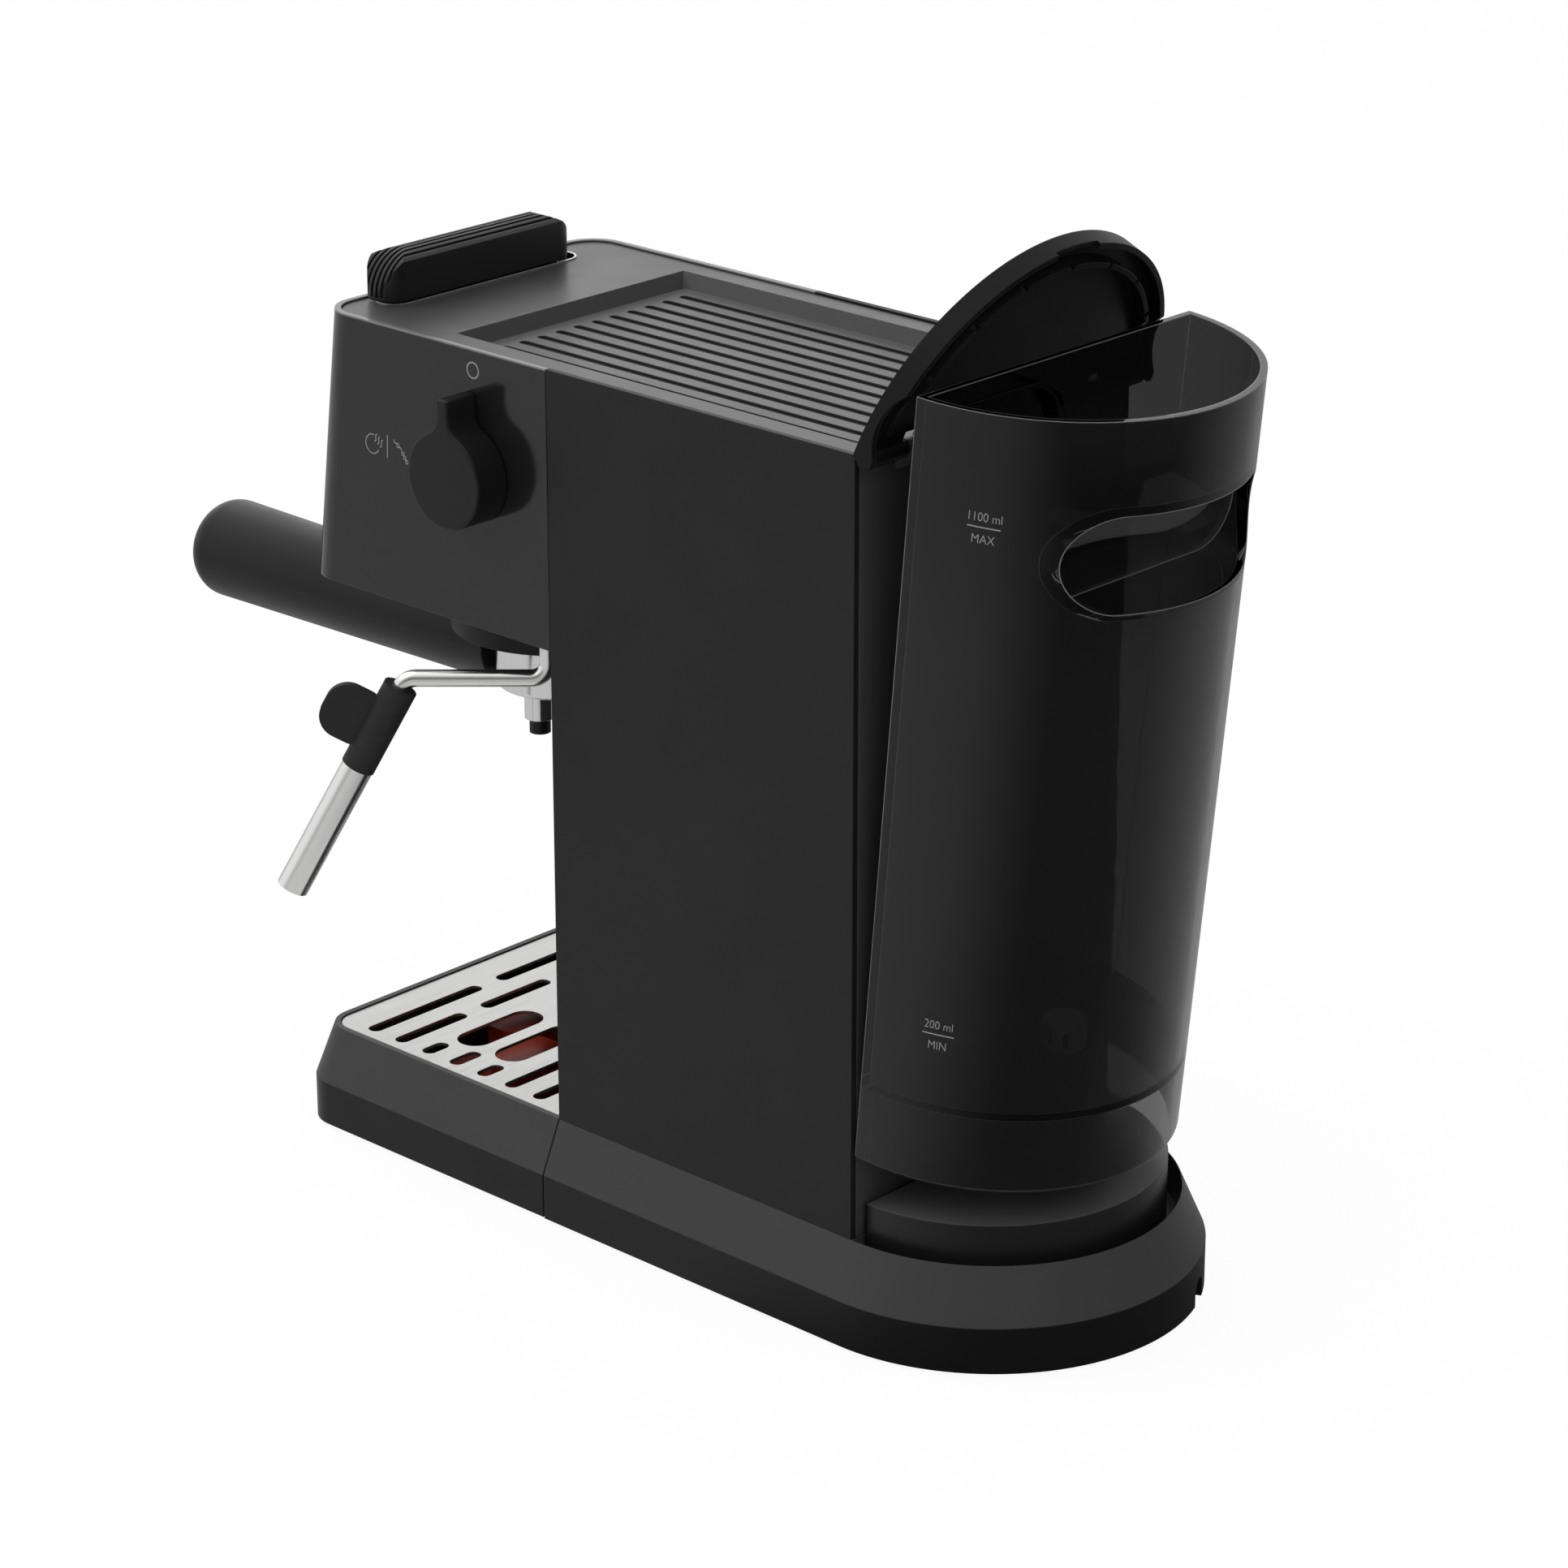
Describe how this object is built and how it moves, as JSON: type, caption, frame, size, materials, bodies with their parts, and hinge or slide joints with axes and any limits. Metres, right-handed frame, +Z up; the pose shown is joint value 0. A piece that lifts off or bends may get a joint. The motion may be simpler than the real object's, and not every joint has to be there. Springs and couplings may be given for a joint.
{
  "type": "pump espresso machine",
  "caption": "Slim pump espresso machine with a bayonet portafilter, swivelling steam wand, slide-out drip tray, and a half-round rear water tank under a hinged lid.",
  "frame": {"origin": "on the foot plane, at the middle of the base's width and of its length with the tray in", "axes": "+Z up, -Y to the front where the portafilter handle points, +X to the steam knob's side"},
  "size_m": [0.1908, 0.475, 0.3687],
  "materials": {
    "satin_black": "satin",
    "matte_black": "matte",
    "gloss_black": "glossy",
    "rubber": "matte",
    "steel": "brushed",
    "grille_steel": "brushed",
    "chrome": "polished",
    "brass": "machined",
    "aluminium": "cast",
    "hose": "matte",
    "board_green": "satin",
    "red_plastic": "satin",
    "mesh_plastic": "matte",
    "smoke_clear": "smoke tinted, clear"
  },
  "bodies": {
    "base": {"base_shell": "satin_black", "base_plate": "matte_black", "rubber_feet": "rubber", "base_screws": "steel", "cord_gland": "rubber", "column_housing": "satin_black", "rear_panel": "matte_black", "panel_screws": "steel", "head_cover": "gloss_black", "head_floor": "matte_black", "top_plate": "satin_black", "bar_bezel": "chrome", "bar_pin": "steel", "group_collar": "matte_black", "group_head": "brass", "shower_screen": "steel", "screen_screw": "steel", "group_gasket": "rubber", "boiler": "aluminium", "thermostat": "matte_black", "steam_swivel": "matte_black", "steam_valve": "brass", "steam_hose": "hose", "tank_seat": "matte_black", "lid_pins": "steel", "inner_frame": "steel", "pump": "aluminium", "pump_mounts": "rubber", "inlet_hose": "hose", "outlet_hose": "hose", "control_board": "board_green", "board_spacers": "steel"},
    "bar": {"control_bar": "gloss_black"},
    "tray": {"drip_tray": "satin_black"},
    "grille": {"drip_grille": "grille_steel"},
    "float": {"tray_float": "red_plastic"},
    "portafilter": {"portafilter_body": "chrome", "filter_basket": "steel", "spout_outlets": "matte_black", "portafilter_handle": "matte_black"},
    "wand": {"steam_pipe": "chrome", "steam_grip": "rubber", "steam_tip": "chrome"},
    "knob": {"steam_knob": "satin_black", "knob_shaft": "steel"},
    "seal": {"inlet_seal": "rubber"},
    "tank": {"water_tank": "smoke_clear", "tank_valve": "matte_black", "tank_filter": "mesh_plastic"},
    "lid": {"tank_lid": "satin_black"}
  },
  "joints": [
    {"name": "lid_hinge", "type": "hinge", "parent": "base", "child": "lid", "pos_m": [0, 0.0976, 0.3051], "axis": [1, 0, 0], "range_deg": [-67, 0]},
    {"name": "tank_swing", "type": "hinge", "parent": "base", "child": "seal", "pos_m": [0, 0.55863, 0.06016], "axis": [1, 0, 0], "range_deg": [0, 5.34]},
    {"name": "tank_lift", "type": "slide", "parent": "seal", "child": "tank", "axis": [0, 0.309, 0.9511], "range_m": [0, 0.31]},
    {"name": "tray_slide", "type": "slide", "parent": "base", "child": "tray", "axis": [0, -1, 0], "range_m": [0, 0.13]},
    {"name": "grille_lift", "type": "slide", "parent": "tray", "child": "grille", "axis": [0, 0, 1], "range_m": [0, 0.03]},
    {"name": "float_rise", "type": "slide", "parent": "tray", "child": "float", "axis": [0, 0, 1], "range_m": [0, 0.004]},
    {"name": "knob_turn", "type": "hinge", "parent": "base", "child": "knob", "pos_m": [0.07, -0.0785, 0.2634], "axis": [1, 0, 0], "range_deg": [0, 90]},
    {"name": "wand_swivel", "type": "hinge", "parent": "base", "child": "wand", "pos_m": [0.05, -0.0602, 0.2], "axis": [0, 0, 1], "range_deg": [-35, 35]},
    {"name": "portafilter_turn", "type": "hinge", "parent": "base", "child": "portafilter", "pos_m": [0, -0.1065, 0.19], "axis": [0, 0, 1], "range_deg": [-45, 0]},
    {"name": "bar_rock", "type": "hinge", "parent": "base", "child": "bar", "pos_m": [0.0055, -0.1427, 0.302], "axis": [1, 0, 0], "range_deg": [-4, 4], "stiffness_Nm_per_rad": 0.4}
  ],
  "couplings": [
    {"joint": "tank_swing", "follows": "lid_hinge", "ratio": -0.079552}
  ]
}
